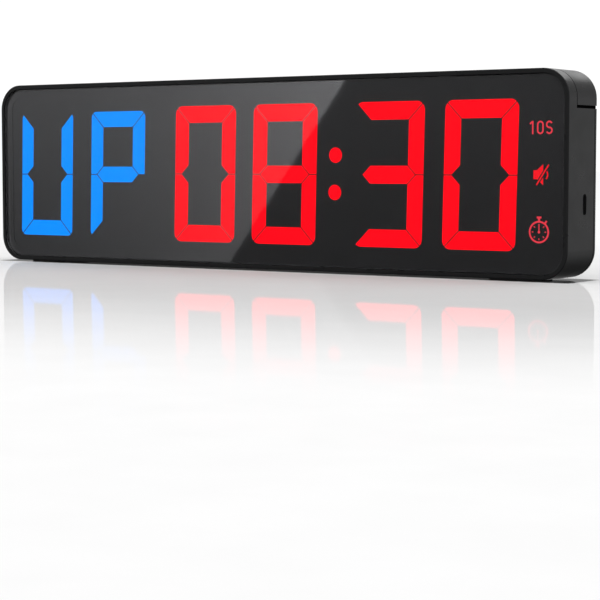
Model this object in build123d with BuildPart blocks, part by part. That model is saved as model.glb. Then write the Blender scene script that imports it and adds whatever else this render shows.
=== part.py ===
"""Gym round timer: a wide LED timer case with six digits, three status icons and a pull-up carry handle.

Frame of the model: millimetres, +Z up, the display faces -Y, +X is to the right of a person reading the
display. The origin is the middle of the footprint, on the surface that the rubber feet stand on.
Depths (d) count from the front of the case towards its back, heights (h) from the middle of the case.
"""

import os
from math import hypot

from build123d import *

os.makedirs("parts", exist_ok=True)

# ---------------------------------------------------------------- driving dimensions
CASE_W = 340.0
CASE_H = 94.0
CASE_D = 29.2
CORNER_R = 13.0
WALL = 2.0
FRONT_EDGE_R = 0.6
BACK_EDGE_R = 1.2
SEAM = 0.2
SEAM_CHAMFER = 0.25
FOOT_DROP = 0.8

# front frame and lens
FRAME_D = 8.2
FRAME_WALL = 3.15
BACK_SEAM = 26.4
RIM_W = 2.1
LENS_RECESS = 0.2
LENS_T = 2.0
LENS_GAP = 0.3
TAPE_T = 0.2
TAPE_LAP = 1.0
BLOCK_GAP = 0.3
LEDGE_T = 1.0
LEDGE_W = 3.4
TONGUE_L = 2.0
TONGUE_T = 1.0
TONGUE_GAP = 0.15

# display
RED_W = 37.8
RED_H = 68.3
RED_STROKE = 8.4
RED_CORNER = 4.2
RED_Z = -0.35
BLUE_SCALE = 0.957
BLUE_CORNER = 3.2
BLUE_Z = -0.7
LEAN = 0.0235
HAIRLINE = 0.45
MODE_X = -138.5
MODE_PITCH = 49.2
ROUND_X = -32.1
ROUND_PITCH = 48.7
SECONDS_OFFSET = 108.4
COLON_X = 46.35
COLON_D = 7.3
COLON_SPREAD = 17.8
ICON_POINTS = ((156.0, 20.8), (156.0, -0.1), (155.0, -25.6))
EYE_X = 155.0
EYE_Z = 33.2
EYE_D = 4.4
EYE_SKIN = 0.6
WINDOW_T = 1.2
BLOCK_W = 326.0
BLOCK_H = 74.0
BLOCK_D = 4.6
FLANGE_T = 1.2
PCB_T = 1.6
LED_L = 3.5
LED_W = 2.8
LED_T = 0.8

# carry handle
SHOULDER = 29.35
FINGER_SLOT = 1.4
REST_RIB_W = 1.2
REST_RIB_H = 1.2
REST_RIB_INSET = 0.4
BULKHEAD_T = 2.0
HANDLE_TRAVEL = 42.0
ROD_X = 100.0
ROD_R = 3.0
ROD_CLEARANCE = 0.05
BUSH_R = 4.5
BUSH_L = 16.0
BUSH_FLANGE_R = 6.0
BUSH_FLANGE_T = 0.8
GUIDE_R = 6.5
RING_SECTION_R = 0.7
COLLAR_R = 5.0
COLLAR_H = 4.0
HANDLE_WALL = 2.2

# fastening
SCREW_X = (-150.0, -50.0, 50.0, 150.0)
SCREW_Z = 40.4
SCREW_R = 1.25
SCREW_HEAD_R = 2.3
SCREW_HEAD_T = 1.2
BOSS_R = 3.2
TUBE_R = 3.7
TUBE_BORE_R = 2.6
TUBE_FLOOR = 13.0
KEYHOLE_X = 75.0
KEYHOLE_Z = 12.0
KEYHOLE_HEAD_R = 4.5
KEYHOLE_NECK_R = 2.25
KEYHOLE_DROP = 9.0
FOOT_X = 140.0
FOOT_L = 22.0
FOOT_W = 5.0
FOOT_T = 1.6
FOOT_DEPTHS = (4.4, 23.4)

# electronics bay
MAIN_FRONT = 18.5
MAIN_X = (107.0, 165.0)
MAIN_Z = (-34.0, 26.0)
USB_Z = -13.5
USB_W = 8.94
USB_T = 3.16
USB_WALL = 0.3
USB_L = 7.4
USB_SLOT_W = 9.5
USB_SLOT_T = 3.6
USB_RECESS = 1.2
BUTTON_X = (114.0, 128.0, 142.0, 156.0)
BUTTON_Z = 8.0
BUTTON_R = 4.0
BUTTON_GAP = 0.2
BUTTON_FLANGE_R = 5.0
BUTTON_TRAVEL = 0.4
BAY_DEPTH = 1.0
BAY_PAD = 1.0
SWITCH_X = 135.0
SWITCH_Z = -15.0
SWITCH_TRAVEL = 3.0
SPEAKER_X = -138.0
SPEAKER_Z = -4.0
SPEAKER_R = 20.0
PACK_X = (-56.0, 48.0)
PACK_Z = (-30.0, 20.0)
PACK_D = (17.0, 26.4)
WIRE_R = 0.6
WIRE_PITCH = 1.6

# ---------------------------------------------------------------- worked out from the above
MID_Z = FOOT_DROP + CASE_H / 2
LEDGE_FRONT = LENS_RECESS + LENS_T + TAPE_T
LEDGE_INSET = RIM_W + LEDGE_W
FLANGE_FRONT = LEDGE_FRONT + LEDGE_T
BLOCK_BACK = LEDGE_FRONT + BLOCK_D
PCB_BACK = BLOCK_BACK + PCB_T
HANDLE_FRONT = FRAME_D + SEAM
COVER_FRONT = BACK_SEAM + SEAM
BULKHEAD_FRONT = PCB_BACK + 0.4
BULKHEAD_BACK = BULKHEAD_FRONT + BULKHEAD_T
TONGUE_INSET = WALL + TONGUE_GAP
TONGUE_END = FRAME_D + TONGUE_L
BULKHEAD_INSET = TONGUE_INSET + TONGUE_T + TONGUE_GAP + 0.1
BACK_INSIDE = CASE_D - WALL
MAIN_BACK = MAIN_FRONT + PCB_T
HANDLE_BASE = SHOULDER + FINGER_SLOT
HANDLE_FACE = BULKHEAD_BACK + SEAM
ROD_DEPTH = (HANDLE_FACE + CASE_D) / 2
ROD_TOP = CASE_H / 2 - HANDLE_WALL - 1.0
GUIDE_BOTTOM = SHOULDER - BUSH_L - 3.2
COLLAR_TOP = GUIDE_BOTTOM - HANDLE_TRAVEL - 0.2
ROD_BOTTOM = COLLAR_TOP - COLLAR_H - 1.0


# ---------------------------------------------------------------- planes and small helpers
def at_depth(d):
    """Plane parallel to the display, d behind the front. Sketch x is +X and sketch y is height."""
    return Plane(origin=(0, d - CASE_D / 2, MID_Z), x_dir=(1, 0, 0), z_dir=(0, -1, 0))


def at_height(h):
    """Level plane, h above the middle of the case. Sketch x is +X and sketch y is depth."""
    return Plane(origin=(0, -CASE_D / 2, MID_Z + h), x_dir=(1, 0, 0), z_dir=(0, 0, 1))


def at_side(x):
    """Plane across the case at x. Sketch x is depth and sketch y is height."""
    return Plane(origin=(x, -CASE_D / 2, MID_Z), x_dir=(0, 1, 0), z_dir=(1, 0, 0))


def case_outline(inset, mode=Mode.ADD):
    """Rounded outline of the case, inset by a constant distance."""
    RectangleRounded(CASE_W - 2 * inset, CASE_H - 2 * inset, CORNER_R - inset, mode=mode)


def patch(x0, y0, x1, y1, mode=Mode.ADD):
    """Rectangle between two opposite corners of the current sketch."""
    with Locations(((x0 + x1) / 2, (y0 + y1) / 2)):
        Rectangle(x1 - x0, y1 - y0, mode=mode)


def write(piece, name):
    """Labels a finished piece and writes its STEP file."""
    piece.part.label = name
    export_step(piece.part, f"parts/{name}.step")


def outer_front_edges(builder):
    """The loop of edges round the frontmost face of a case shell."""
    return builder.faces().sort_by(Axis.Y)[0].outer_wire().edges()


def outer_back_edges(builder):
    """The loop of edges round the rearmost face of a case shell."""
    return builder.faces().sort_by(Axis.Y)[-1].outer_wire().edges()


def handle_seam_edges(builder):
    """The outer edges of the front frame that meet the carry handle, above the shoulder."""
    seam_y = FRAME_D - CASE_D / 2
    in_plane = builder.edges().filter_by_position(Axis.Y, seam_y, seam_y)
    return in_plane.filter_by_position(Axis.Z, MID_Z + SHOULDER + SEAM, MID_Z + CASE_H)


# ---------------------------------------------------------------- display layout
def leaned(x, z):
    """A point of an upright digit, moved by the slight forward lean of the digits."""
    return (x + LEAN * z, z)


def slanted_patch(x0, z0, x1, z1, mode=Mode.ADD):
    """Leaned rectangle between two opposite corners."""
    corners = ((x0, z0), (x1, z0), (x1, z1), (x0, z1))
    Polygon(*[leaned(x, z) for x, z in corners], align=None, mode=mode)


def hairline(start, end):
    """Thin cut between two neighbouring segments."""
    (x0, z0), (x1, z1) = leaned(*start), leaned(*end)
    length = hypot(x1 - x0, z1 - z0)
    side_x = -(z1 - z0) / length * HAIRLINE / 2
    side_z = (x1 - x0) / length * HAIRLINE / 2
    Polygon(
        (x0 + side_x, z0 + side_z),
        (x0 - side_x, z0 - side_z),
        (x1 - side_x, z1 - side_z),
        (x1 + side_x, z1 + side_z),
        align=None,
        mode=Mode.SUBTRACT,
    )


def digit_segments(center_x, center_z, width, height, stroke, corner):
    """The seven segment faces of one digit, keyed a to g as on every seven-segment display."""
    half_w, half_h = width / 2, height / 2
    in_w, in_h = half_w - stroke, half_h - stroke
    past = 1.0
    with BuildSketch() as digit:
        slanted_patch(-half_w, -half_h, half_w, half_h)
        fillet(digit.vertices(), corner)
        slanted_patch(-in_w, stroke / 2, in_w, in_h, mode=Mode.SUBTRACT)
        slanted_patch(-in_w, -in_h, in_w, -stroke / 2, mode=Mode.SUBTRACT)
        for sx in (-1, 1):
            tip = (sx * (half_w - stroke / 2), 0)
            hairline((sx * (half_w + past), 0), tip)
            for sz in (-1, 1):
                hairline((sx * half_w, sz * half_h), (sx * (in_w - past / 2), sz * (in_h - past / 2)))
                hairline(tip, (sx * (in_w - past / 2), sz * (stroke / 2 + past / 2)))

    def key(face):
        spot = face.center()
        if abs(spot.X) < half_w / 3:
            return "a" if spot.Y > stroke else "d" if spot.Y < -stroke else "g"
        if spot.X > 0:
            return "b" if spot.Y > 0 else "c"
        return "f" if spot.Y > 0 else "e"

    place = Location((center_x, center_z, 0))
    return {key(face): face.moved(place) for face in digit.sketch.faces()}


def red_digit(x):
    """A red digit centred at x."""
    return digit_segments(x, RED_Z, RED_W, RED_H, RED_STROKE, RED_CORNER)


def blue_digit(x):
    """A blue digit centred at x, a little smaller than the red ones."""
    sizes = [BLUE_SCALE * size for size in (RED_W, RED_H, RED_STROKE)]
    return digit_segments(x, BLUE_Z, *sizes, BLUE_CORNER)


def ten_seconds_icon():
    """The three characters of the ten-second warning icon, each of one stroke width."""
    stroke, tall = 0.7, 5.9
    rise = (tall - stroke) / 2
    bowl = rise / 2
    one_x, zero_x, zero_w, s_x = -4.55, -0.8, 3.3, 3.6
    with BuildSketch() as icon:
        with Locations((one_x, 0)):
            Rectangle(stroke, tall)
        flag = ((-stroke / 2, rise + stroke / 2), (-1.6, rise - 0.7), (-1.2, rise - 1.2), (0, rise - 0.4))
        Polygon(*[(one_x + x, z) for x, z in flag], align=None)
        with Locations((zero_x, 0)):
            SlotOverall(tall, zero_w, rotation=90)
            SlotOverall(tall - 2 * stroke, zero_w - 2 * stroke, rotation=90, mode=Mode.SUBTRACT)
        with BuildLine():
            CenterArc((s_x, bowl), bowl, 25, 245)
            CenterArc((s_x, -bowl), bowl, 90, -245)
        trace(line_width=stroke)
    return icon.sketch


def mute_icon():
    """A loudspeaker with a stroke through it and one sound wave."""
    stroke_from, stroke_to = (3.5, 4.4), (-2.5, -4.6)
    lean_deg = 56.5
    with BuildSketch() as icon:
        Polygon((-4.0, -2.0), (-2.3, -2.0), (0.8, -4.6), (0.8, 4.6), (-2.3, 2.0), (-4.0, 2.0), align=None)
        with BuildLine():
            CenterArc((0.2, 0), 2.8, -42, 84)
        trace(line_width=0.6)
        middle = ((stroke_from[0] + stroke_to[0]) / 2, (stroke_from[1] + stroke_to[1]) / 2)
        with Locations(middle):
            Rectangle(12.0, 1.7, rotation=lean_deg, mode=Mode.SUBTRACT)
            Rectangle(hypot(6.0, 9.0), 0.6, rotation=lean_deg)
    return icon.sketch


def stopwatch_icon():
    """A stopwatch: ring, crown, side pusher, eight ticks and one hand."""
    ring_r, ring_w = 5.0, 0.8
    with BuildSketch() as icon:
        Circle(ring_r)
        Circle(ring_r - ring_w, mode=Mode.SUBTRACT)
        with Locations((0, ring_r + 0.5)):
            Rectangle(1.0, 1.6)
        with Locations((0, ring_r + 1.5)):
            Rectangle(2.3, 0.9)
        with PolarLocations(ring_r + 0.6, 1, start_angle=53):
            Rectangle(1.4, 0.9)
        Circle(0.6)
        with Locations((0, 1.7)):
            Rectangle(0.5, 3.4)
        with PolarLocations(3.2, 8):
            Rectangle(0.8, 0.45)
    return icon.sketch


DIGITS = {
    "mode_letter_1": (blue_digit(MODE_X), "bcdef"),
    "mode_letter_2": (blue_digit(MODE_X + MODE_PITCH), "abefg"),
    "minutes_tens": (red_digit(ROUND_X), "abcdef"),
    "minutes_ones": (red_digit(ROUND_X + ROUND_PITCH), "abcdefg"),
    "seconds_tens": (red_digit(ROUND_X + SECONDS_OFFSET), "abcdg"),
    "seconds_ones": (red_digit(ROUND_X + SECONDS_OFFSET + ROUND_PITCH), "abcdef"),
}
ICONS = dict(zip(("ten_seconds_icon", "mute_icon", "stopwatch_icon"),
                 (ten_seconds_icon(), mute_icon(), stopwatch_icon())))
ICON_PLACES = dict(zip(ICONS, ICON_POINTS))
COLON_POINTS = [leaned(COLON_X, side * COLON_SPREAD / 2) for side in (-1, 1)]


def led_points(face):
    """Two lamp positions along the length of a segment."""
    box = face.bounding_box()
    middle = face.center()
    if box.size.X > box.size.Y:
        return [(middle.X + side * box.size.X / 4, middle.Y) for side in (-1, 1)]
    return [(middle.X + side * LEAN * box.size.Y / 4, middle.Y + side * box.size.Y / 4) for side in (-1, 1)]


# ---------------------------------------------------------------- front frame, lens and tape
with BuildPart() as front_frame:
    with BuildSketch(at_depth(0)):
        case_outline(0)
    extrude(amount=-BACK_SEAM)
    fillet(outer_front_edges(front_frame), FRONT_EDGE_R)
    chamfer(outer_back_edges(front_frame), SEAM_CHAMFER)
    # room for the carry handle above the shoulder
    with BuildSketch(at_side(0)):
        patch(FRAME_D, SHOULDER, CASE_D, CASE_H)
    extrude(amount=CASE_W, both=True, mode=Mode.SUBTRACT)
    chamfer(handle_seam_edges(front_frame), SEAM_CHAMFER)
    with BuildSketch(at_depth(FRAME_D)):
        case_outline(TONGUE_INSET)
    extrude(amount=-TONGUE_L)
    with BuildSketch(at_depth(0)):
        case_outline(RIM_W)
    extrude(amount=-LEDGE_FRONT, mode=Mode.SUBTRACT)
    with BuildSketch(at_depth(0)):
        case_outline(LEDGE_INSET)
    extrude(amount=-FLANGE_FRONT, mode=Mode.SUBTRACT)
    with BuildSketch(at_depth(FLANGE_FRONT)):
        case_outline(FRAME_WALL)
    extrude(amount=-(TONGUE_END - FLANGE_FRONT), mode=Mode.SUBTRACT)
    with BuildSketch(at_depth(TONGUE_END)):
        case_outline(WALL)
    extrude(amount=-(BACK_SEAM - TONGUE_END), mode=Mode.SUBTRACT)
    # screw bosses: the upper row ends under the bulkhead, the lower row under the screw tubes
    boss_front = FLANGE_FRONT + FLANGE_T
    for side, boss_end in ((1, BULKHEAD_FRONT), (-1, TUBE_FLOOR - 2.0)):
        with BuildSketch(at_depth(boss_front)):
            for x in SCREW_X:
                with Locations((x, side * SCREW_Z)):
                    Circle(BOSS_R)
                with Locations((x, side * (SCREW_Z + 2.0))):
                    Rectangle(4.0, 4.0)
        extrude(amount=-(boss_end - boss_front))
        with BuildSketch(at_depth(boss_front + 1.0)):
            with Locations(*[(x, side * SCREW_Z) for x in SCREW_X]):
                Circle(SCREW_R)
        extrude(amount=-(boss_end - boss_front), mode=Mode.SUBTRACT)
    with BuildSketch(at_height(-CASE_H / 2)):
        with Locations(*[(side * FOOT_X, depth) for side in (-1, 1) for depth in FOOT_DEPTHS]):
            SlotOverall(FOOT_L, FOOT_W)
    extrude(amount=FOOT_T - FOOT_DROP, mode=Mode.SUBTRACT)
    # socket slot in the right side
    with BuildSketch(at_side(CASE_W / 2)):
        with Locations((MAIN_FRONT - USB_T / 2, USB_Z)):
            SlotOverall(USB_SLOT_W, USB_SLOT_T, rotation=90)
    extrude(amount=-WALL - 0.5, mode=Mode.SUBTRACT)
write(front_frame, "front_frame")

with BuildPart() as front_lens:
    with BuildSketch(at_depth(LENS_RECESS)):
        case_outline(RIM_W + LENS_GAP)
    extrude(amount=-LENS_T)
    chamfer(outer_front_edges(front_lens), 0.25)
write(front_lens, "front_lens")

with BuildPart() as lens_tape:
    with BuildSketch(at_depth(LENS_RECESS + LENS_T)):
        case_outline(RIM_W + LENS_GAP + 0.3)
        case_outline(LEDGE_INSET + BLOCK_GAP + TAPE_LAP, mode=Mode.SUBTRACT)
    extrude(amount=-TAPE_T)
write(lens_tape, "lens_tape")

# ---------------------------------------------------------------- light block and windows
with BuildPart() as light_block:
    with BuildSketch(at_depth(LEDGE_FRONT)):
        case_outline(LEDGE_INSET + BLOCK_GAP)
    extrude(amount=-LEDGE_T)
    with BuildSketch(at_depth(FLANGE_FRONT)):
        case_outline(FRAME_WALL + 0.25)
        with Locations(*[(x, side * (SCREW_Z + 2.0)) for x in SCREW_X for side in (-1, 1)]):
            Rectangle(2 * BOSS_R + 0.8, 2 * BOSS_R + 4.4, mode=Mode.SUBTRACT)
    extrude(amount=-FLANGE_T)
    with BuildSketch(at_depth(FLANGE_FRONT + FLANGE_T)):
        RectangleRounded(BLOCK_W, BLOCK_H, 4.0)
    extrude(amount=-(BLOCK_BACK - FLANGE_FRONT - FLANGE_T))
    # wells through the block for the digits and the colon
    with BuildSketch(at_depth(LEDGE_FRONT)):
        for segments, _ in DIGITS.values():
            add(list(segments.values()))
        with Locations(*COLON_POINTS):
            Circle(COLON_D / 2)
    extrude(amount=-BLOCK_D, mode=Mode.SUBTRACT)
    # well of the remote-control eye, closed in front by a skin that passes infrared light
    with BuildSketch(at_depth(LEDGE_FRONT + EYE_SKIN)):
        with Locations((EYE_X, EYE_Z)):
            Circle(EYE_D / 2)
    extrude(amount=-(BLOCK_D - EYE_SKIN), mode=Mode.SUBTRACT)
    # icon windows in the face of the block, with a lamp pocket behind each
    with BuildSketch(at_depth(LEDGE_FRONT)):
        for name, icon in ICONS.items():
            add(icon.moved(Location((*ICON_PLACES[name], 0))))
    extrude(amount=-WINDOW_T, mode=Mode.SUBTRACT)
    with BuildSketch(at_depth(LEDGE_FRONT + WINDOW_T)):
        with Locations(*ICON_PLACES.values()):
            Rectangle(13.0, 14.5)
    extrude(amount=-(BLOCK_D - WINDOW_T), mode=Mode.SUBTRACT)
    # a thin rib across each pocket carries the islands of its icon
    with BuildSketch(at_depth(LEDGE_FRONT + WINDOW_T)):
        with Locations(*[(x - 0.5, z) for x, z in ICON_PLACES.values()]):
            Rectangle(1.4, 15.0)
    extrude(amount=-0.8)
write(light_block, "light_block")

for name, (segments, lit) in DIGITS.items():
    with BuildPart() as lit_windows:
        with BuildSketch(at_depth(LEDGE_FRONT)):
            add([segments[letter] for letter in lit])
        extrude(amount=-WINDOW_T)
    write(lit_windows, f"{name}_lit_windows")

with BuildPart() as unlit_windows:
    with BuildSketch(at_depth(LEDGE_FRONT)):
        for segments, lit in DIGITS.values():
            add([segments[letter] for letter in "abcdefg" if letter not in lit])
    extrude(amount=-WINDOW_T)
write(unlit_windows, "unlit_windows")

with BuildPart() as colon_windows:
    with BuildSketch(at_depth(LEDGE_FRONT)):
        with Locations(*COLON_POINTS):
            Circle(COLON_D / 2)
    extrude(amount=-WINDOW_T)
write(colon_windows, "colon_windows")

for name, icon in ICONS.items():
    with BuildPart() as icon_window:
        with BuildSketch(at_depth(LEDGE_FRONT)):
            add(icon.moved(Location((*ICON_PLACES[name], 0))))
        extrude(amount=-WINDOW_T)
    write(icon_window, name)

# ---------------------------------------------------------------- display board and its lamps
BOARD_SCREWS = [
    (x, side * 20.0)
    for x in (
        MODE_X + MODE_PITCH / 2,
        (MODE_X + MODE_PITCH + ROUND_X) / 2,
        ROUND_X + ROUND_PITCH / 2,
        ROUND_X + SECONDS_OFFSET + ROUND_PITCH / 2,
    )
    for side in (-1, 1)
]
BOARD_SCREW_R = 0.9

with BuildPart() as display_board:
    with BuildSketch(at_depth(BLOCK_BACK)):
        RectangleRounded(BLOCK_W, BLOCK_H, 4.0)
        with Locations(*BOARD_SCREWS):
            Circle(BOARD_SCREW_R, mode=Mode.SUBTRACT)
    extrude(amount=-PCB_T)
write(display_board, "display_board")


def digit_lamps(names):
    """Places of the lamps behind every segment of the named digits."""
    return [spot for name in names for face in DIGITS[name][0].values() for spot in led_points(face)]


blue_spots = digit_lamps(list(DIGITS)[:2])
red_spots = digit_lamps(list(DIGITS)[2:]) + COLON_POINTS + list(ICON_PLACES.values())
for name, spots in (("blue_lamps", blue_spots), ("red_lamps", red_spots)):
    with BuildPart() as lamps:
        with BuildSketch(at_depth(BLOCK_BACK - LED_T)):
            with Locations(*spots):
                Rectangle(LED_L, LED_W)
        extrude(amount=-LED_T)
    write(lamps, name)

with BuildPart() as display_screws:
    with BuildSketch(at_depth(PCB_BACK)):
        with Locations(*BOARD_SCREWS):
            Circle(1.9)
    extrude(amount=-1.4)
    with BuildSketch(at_depth(PCB_BACK)):
        with Locations(*BOARD_SCREWS):
            Circle(BOARD_SCREW_R)
    extrude(amount=PCB_T)
write(display_screws, "display_screws")

with BuildPart() as remote_eye:
    with BuildSketch(at_depth(BLOCK_BACK)):
        with Locations((EYE_X, EYE_Z)):
            Circle(EYE_D / 2 - 0.2)
    extrude(amount=3.0)
    fillet(remote_eye.faces().sort_by(Axis.Y)[0].edges(), 1.4)
write(remote_eye, "remote_eye")

# ---------------------------------------------------------------- rear housing
BAY_CENTER = ((BUTTON_X[0] + BUTTON_X[-1]) / 2, (BUTTON_Z + SWITCH_Z) / 2)
BAY_W = BUTTON_X[-1] - BUTTON_X[0] + 2 * BUTTON_FLANGE_R + 2.0
BAY_H = BUTTON_Z - SWITCH_Z + 2 * BUTTON_FLANGE_R + 2.0
POST_INSET = 4.0
POST_POINTS = [
    (x, z)
    for x in (MAIN_X[0] + POST_INSET, MAIN_X[1] - POST_INSET)
    for z in (MAIN_Z[0] + POST_INSET, MAIN_Z[1] - POST_INSET)
]
PAD_POSTS = [(x, -33.0) for x in (-75.0, -15.0, 75.0)]
ROD_POINTS = [(side * ROD_X, ROD_DEPTH) for side in (-1, 1)]
SHELF_W = CASE_W - 2 * TONGUE_INSET
RIB_OUTSIDE = SHELF_W / 2 - REST_RIB_INSET
REAR_RIB = (CASE_D - REST_RIB_INSET - REST_RIB_W, CASE_D - REST_RIB_INSET)

with BuildPart() as rear_housing:
    with BuildSketch(at_depth(COVER_FRONT)):
        case_outline(0)
    extrude(amount=-(CASE_D - COVER_FRONT))
    fillet(outer_back_edges(rear_housing), BACK_EDGE_R)
    chamfer(outer_front_edges(rear_housing), SEAM_CHAMFER)
    # lip that centres the cover in the walls of the front frame
    with BuildSketch(at_depth(COVER_FRONT - TONGUE_L)):
        case_outline(TONGUE_INSET)
    extrude(amount=-TONGUE_L)
    with BuildSketch(at_depth(COVER_FRONT - TONGUE_L)):
        case_outline(FRAME_WALL)
    extrude(amount=-(BACK_INSIDE - COVER_FRONT + TONGUE_L), mode=Mode.SUBTRACT)
    # the carry handle takes the place of the case above the shoulder
    with BuildSketch(at_side(0)):
        patch(0, SHOULDER, CASE_D + 1, CASE_H)
    extrude(amount=CASE_W, both=True, mode=Mode.SUBTRACT)
    # shelf under the handle, narrower where it passes the tongue of the front frame
    with BuildSketch(at_height(SHOULDER)):
        patch(-SHELF_W / 2, TONGUE_END + 0.3, SHELF_W / 2, CASE_D - BACK_EDGE_R)
        patch(BULKHEAD_INSET - CASE_W / 2, BULKHEAD_FRONT, CASE_W / 2 - BULKHEAD_INSET, BACK_SEAM)
    extrude(amount=-WALL)
    # ribs that the handle comes down on, and that keep dust out of the slot
    with BuildSketch(at_height(SHOULDER)) as ribs:
        patch(REST_RIB_INSET - CASE_W / 2, REAR_RIB[0], CASE_W / 2 - REST_RIB_INSET, REAR_RIB[1])
        fillet(ribs.vertices().group_by(Axis.Y)[-1], REST_RIB_W - 0.05)
        for side in (-1, 1):
            patch(side * (RIB_OUTSIDE - REST_RIB_W), BULKHEAD_BACK + 0.4, side * RIB_OUTSIDE, REAR_RIB[0])
    extrude(amount=REST_RIB_H)
    # bulkhead that closes the case behind the display, above the shoulder
    with BuildSketch(at_depth(BULKHEAD_FRONT)):
        case_outline(BULKHEAD_INSET)
        patch(-CASE_W, -CASE_H, CASE_W, SHOULDER - WALL, mode=Mode.SUBTRACT)
    extrude(amount=-BULKHEAD_T)
    # guide bosses of the handle rods, with a lip that keeps the friction ring in
    with BuildSketch(at_height(SHOULDER)):
        with Locations(*ROD_POINTS):
            Circle(GUIDE_R)
    extrude(amount=-(SHOULDER - GUIDE_BOTTOM))
    with BuildSketch(at_height(SHOULDER)):
        with Locations(*ROD_POINTS):
            Circle(BUSH_R)
    extrude(amount=-(SHOULDER - GUIDE_BOTTOM - 1.2), mode=Mode.SUBTRACT)
    with BuildSketch(at_height(GUIDE_BOTTOM)):
        with Locations(*ROD_POINTS):
            Circle(ROD_R + 0.5)
    extrude(amount=2.0, mode=Mode.SUBTRACT)
    # tubes for the lower case screws
    with BuildSketch(at_depth(TUBE_FLOOR - 2.0)):
        with Locations(*[(x, -SCREW_Z) for x in SCREW_X]):
            Circle(TUBE_R)
    extrude(amount=-(BACK_INSIDE - TUBE_FLOOR + 2.5))
    with BuildSketch(at_depth(TUBE_FLOOR)):
        with Locations(*[(x, -SCREW_Z) for x in SCREW_X]):
            Circle(TUBE_BORE_R)
    extrude(amount=-CASE_D, mode=Mode.SUBTRACT)
    with BuildSketch(at_depth(TUBE_FLOOR - 2.0)):
        with Locations(*[(x, -SCREW_Z) for x in SCREW_X]):
            Circle(SCREW_R)
    extrude(amount=-3.0, mode=Mode.SUBTRACT)
    # upper case screws, in counterbores on the back of the bulkhead
    with BuildSketch(at_depth(BULKHEAD_FRONT)):
        with Locations(*[(x, SCREW_Z) for x in SCREW_X]):
            Circle(SCREW_R)
    extrude(amount=-BULKHEAD_T, mode=Mode.SUBTRACT)
    with BuildSketch(at_depth(BULKHEAD_BACK - SCREW_HEAD_T)):
        with Locations(*[(x, SCREW_Z) for x in SCREW_X]):
            Circle(SCREW_HEAD_R + 0.1)
    extrude(amount=-SCREW_HEAD_T, mode=Mode.SUBTRACT)
    # posts of the main board and of the pads that press on the display board
    with BuildSketch(at_depth(MAIN_BACK)):
        with Locations(*POST_POINTS):
            Circle(3.0)
    extrude(amount=-(BACK_INSIDE - MAIN_BACK + 0.5))
    with BuildSketch(at_depth(MAIN_BACK)):
        with Locations(*POST_POINTS):
            Circle(SCREW_R)
    extrude(amount=-5.0, mode=Mode.SUBTRACT)
    with BuildSketch(at_depth(BULKHEAD_FRONT)):
        with Locations(*PAD_POSTS):
            Circle(3.0)
    extrude(amount=-(BACK_INSIDE - BULKHEAD_FRONT + 0.5))
    # control bay: a shallow dish in the back with a thicker wall behind it
    with BuildSketch(at_depth(BACK_INSIDE - BAY_PAD)):
        with Locations(BAY_CENTER):
            RectangleRounded(BAY_W + 2.0, BAY_H + 2.0, 4.0)
    extrude(amount=-(BAY_PAD + 0.5))
    with BuildSketch(at_depth(CASE_D - BAY_DEPTH)):
        with Locations(BAY_CENTER):
            RectangleRounded(BAY_W, BAY_H, 4.0)
    extrude(amount=-BAY_DEPTH, mode=Mode.SUBTRACT)
    with BuildSketch(at_depth(MAIN_BACK)):
        with Locations(*[(x, BUTTON_Z) for x in BUTTON_X]):
            Circle(BUTTON_R + BUTTON_GAP)
        with Locations((SWITCH_X, SWITCH_Z)):
            SlotOverall(5.0 + SWITCH_TRAVEL + 0.4, 3.9)
    extrude(amount=-CASE_D, mode=Mode.SUBTRACT)
    # keyhole hangers with a covered pocket behind each
    with BuildSketch(at_depth(BACK_INSIDE - 5.5)):
        for side in (-1, 1):
            with Locations((side * KEYHOLE_X, KEYHOLE_Z + KEYHOLE_DROP / 2 - 1.0)):
                RectangleRounded(2 * KEYHOLE_HEAD_R + 5.0, KEYHOLE_DROP + 2 * KEYHOLE_HEAD_R + 5.0, 3.0)
    extrude(amount=-6.0)
    with BuildSketch(at_depth(BACK_INSIDE - 4.0)):
        for side in (-1, 1):
            with Locations((side * KEYHOLE_X, KEYHOLE_Z + KEYHOLE_DROP / 2)):
                SlotOverall(KEYHOLE_DROP + 2 * KEYHOLE_HEAD_R, 2 * KEYHOLE_HEAD_R, rotation=90)
    extrude(amount=-4.0, mode=Mode.SUBTRACT)
    with BuildSketch(at_depth(BACK_INSIDE - 0.5)):
        for side in (-1, 1):
            with Locations((side * KEYHOLE_X, KEYHOLE_Z)):
                Circle(KEYHOLE_HEAD_R)
            with Locations((side * KEYHOLE_X, KEYHOLE_Z + KEYHOLE_DROP / 2)):
                SlotOverall(KEYHOLE_DROP + 2 * KEYHOLE_NECK_R, 2 * KEYHOLE_NECK_R, rotation=90)
    extrude(amount=-WALL - 1.0, mode=Mode.SUBTRACT)
    # loudspeaker: locating ring inside and rings of sound holes through the back
    with BuildSketch(at_depth(BACK_INSIDE - 4.0)):
        with Locations((SPEAKER_X, SPEAKER_Z)):
            Circle(SPEAKER_R + 1.8)
            Circle(SPEAKER_R + 0.2, mode=Mode.SUBTRACT)
    extrude(amount=-4.5)
    with BuildSketch(at_depth(BACK_INSIDE - 0.5)):
        with Locations((SPEAKER_X, SPEAKER_Z)):
            Circle(1.0)
            for ring in (1, 2, 3):
                with PolarLocations(4.2 * ring, 6 * ring):
                    Circle(1.0)
    extrude(amount=-WALL - 1.0, mode=Mode.SUBTRACT)
write(rear_housing, "rear_housing")

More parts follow.
